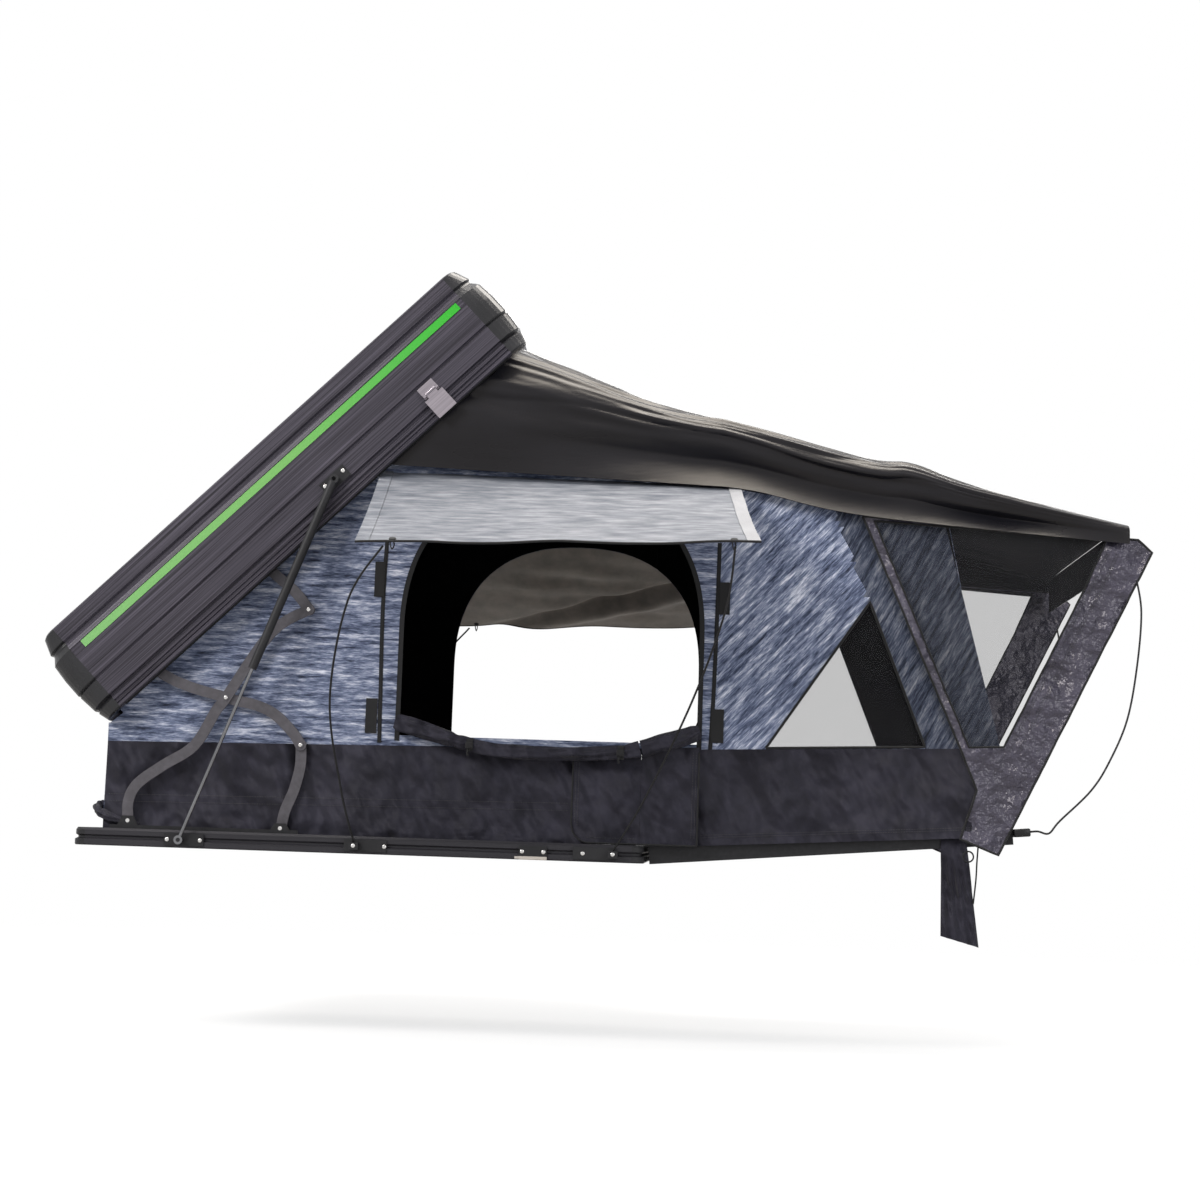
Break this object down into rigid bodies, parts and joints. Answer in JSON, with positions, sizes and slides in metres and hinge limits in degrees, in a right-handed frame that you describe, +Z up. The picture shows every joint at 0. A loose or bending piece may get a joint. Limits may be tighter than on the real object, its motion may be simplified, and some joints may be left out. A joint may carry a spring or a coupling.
{
  "type": "roof top tent",
  "caption": "Hard-shell roof top tent with a ribbed lid lifted at a slant on crossing arms and gas struts, a fold-out floor, a cloth body, side awnings and a mesh porch.",
  "frame": {"origin": "centre of the roof bolt pattern, on the underside of the base", "axes": "+X from the lid's low end to the fold-out end, +Y to the far side, +Z up"},
  "size_m": [2.7852, 2.0524, 1.67],
  "materials": {
    "dark_aluminium": "satin anodised",
    "black_plastic": "matte",
    "panel": "satin sheet skin",
    "black_steel": "satin black",
    "grey_steel": "satin grey",
    "bright_steel": "bright",
    "chrome_rod": "polished",
    "blue_canvas": "streaked print",
    "black_cloth": "coated",
    "pale_cloth": "coated",
    "mesh": "fine net",
    "foam": "quilted cover",
    "green_stripe": "gloss strip",
    "rubber": "matte",
    "hoop_tube": "satin"
  },
  "bodies": {
    "base": {"mount_rails": "dark_aluminium", "base_side_rails": "dark_aluminium", "base_end_rails": "dark_aluminium", "base_corner_caps": "black_plastic", "base_floor": "panel", "base_mattress": "foam", "arm_base_plates": "black_steel", "base_pivot_pins": "bright_steel", "strut_base_brackets": "black_steel", "rod_sockets": "black_steel", "latch_keepers": "bright_steel", "base_bolts": "bright_steel", "hinge_blocks": "dark_aluminium", "hinge_pins": "bright_steel", "wall_near": "blue_canvas", "wall_far": "blue_canvas", "skirts": "black_cloth", "skirt_flaps": "black_cloth", "end_wall_low": "blue_canvas", "fly_front": "black_cloth", "awning_near": "pale_cloth", "awning_far": "pale_cloth", "awning_rods": "black_steel", "window_rolls": "black_cloth"},
    "lid": {"lid_sides": "dark_aluminium", "lid_ends": "dark_aluminium", "lid_corner_caps": "black_plastic", "lid_panel": "panel", "lid_stripes": "green_stripe", "lid_seal": "rubber", "lid_arm_brackets": "black_steel", "lid_pivot_pins": "bright_steel", "lid_strut_brackets": "black_steel", "lid_bolts": "bright_steel", "latch_bases": "bright_steel"},
    "latch_near": {"latch_lever_near": "bright_steel"},
    "latch_far": {"latch_lever_far": "bright_steel"},
    "long_arms": {"long_arms": "grey_steel"},
    "cross_arms": {"cross_arms": "grey_steel"},
    "top_links": {"top_links": "grey_steel"},
    "base_links": {"base_links": "grey_steel"},
    "strut_rods": {"strut_rods": "chrome_rod"},
    "strut_cylinders": {"strut_cylinders": "black_steel"},
    "floor": {"floor_side_rails": "black_steel", "floor_end_rails": "black_steel", "floor_panel": "panel", "floor_mattress": "foam", "hinge_leaves": "dark_aluminium", "hoop_pivots": "dark_aluminium", "end_rings": "bright_steel", "end_rods": "black_steel", "annex_walls": "blue_canvas", "annex_end_wall": "blue_canvas", "mesh_panels": "mesh", "annex_skirts": "black_cloth", "fly_rear": "black_cloth", "wing_borders": "black_cloth", "end_flaps": "black_cloth", "tie_cords": "black_cloth"},
    "hoop": {"hoop": "hoop_tube"}
  },
  "joints": [
    {"name": "lid_close", "type": "hinge", "parent": "base", "child": "lid", "pos_m": [-1.00791, 0, 0.26034], "axis": [0, 1, 0], "range_deg": [0, 44.3], "stiffness_Nm_per_rad": 2500, "springref_deg": -14.32, "deforming": ["wall_near", "wall_far", "skirts", "skirt_flaps", "end_wall_low", "fly_front", "awning_near", "awning_far", "awning_rods", "window_rolls"]},
    {"name": "long_arm_turn", "type": "hinge", "parent": "base", "child": "long_arms", "pos_m": [-0.584, 0, 0.064], "axis": [0, 1, 0], "range_deg": [0, 43.7]},
    {"name": "base_link_turn", "type": "hinge", "parent": "base", "child": "base_links", "pos_m": [-0.198, 0, 0.057], "axis": [0, 1, 0], "range_deg": [0, 77.53]},
    {"name": "cross_arm_turn", "type": "hinge", "parent": "lid", "child": "cross_arms", "pos_m": [-0.67428, 0, 0.56937], "axis": [0, 1, 0], "range_deg": [-56.69, 0]},
    {"name": "top_link_turn", "type": "hinge", "parent": "lid", "child": "top_links", "pos_m": [-0.36216, 0, 0.79361], "axis": [0, 1, 0], "range_deg": [-79.58, 0]},
    {"name": "strut_turn", "type": "hinge", "parent": "base", "child": "strut_rods", "pos_m": [-0.443, 0, 0.02], "axis": [0, 1, 0], "range_deg": [0, 60.41]},
    {"name": "strut_slide", "type": "slide", "parent": "strut_rods", "child": "strut_cylinders", "axis": [0.354, 0, 0.9353], "range_m": [-0.41432, 0]},
    {"name": "floor_fold", "type": "hinge", "parent": "base", "child": "floor", "pos_m": [0.66, 0, 0.06], "axis": [0, -1, 0], "range_deg": [0, 175], "deforming": ["end_rods", "annex_walls", "annex_end_wall", "mesh_panels", "annex_skirts", "fly_rear", "wing_borders", "end_flaps", "tie_cords"]},
    {"name": "hoop_fold", "type": "hinge", "parent": "floor", "child": "hoop", "pos_m": [0.73917, 0, 0.07295], "axis": [0, -1, 0], "range_deg": [-47.45, 0]},
    {"name": "latch_near_open", "type": "hinge", "parent": "lid", "child": "latch_near", "pos_m": [0.13696, -0.659, 1.1703], "axis": [-0.7157, 0, -0.6984], "range_deg": [0, 100]},
    {"name": "latch_far_open", "type": "hinge", "parent": "lid", "child": "latch_far", "pos_m": [0.13696, 0.659, 1.1703], "axis": [0.7157, 0, 0.6984], "range_deg": [0, 100]}
  ],
  "couplings": [
    {"joint": "long_arm_turn", "follows": "lid_close", "ratio": 0.98533},
    {"joint": "base_link_turn", "follows": "lid_close", "ratio": 1.749},
    {"joint": "cross_arm_turn", "follows": "lid_close", "ratio": -1.2786},
    {"joint": "top_link_turn", "follows": "lid_close", "ratio": -1.7952},
    {"joint": "strut_turn", "follows": "lid_close", "ratio": 1.3624},
    {"joint": "strut_slide", "follows": "lid_close", "m_per_rad": -0.53457},
    {"joint": "hoop_fold", "follows": "floor_fold", "ratio": -0.27086}
  ]
}
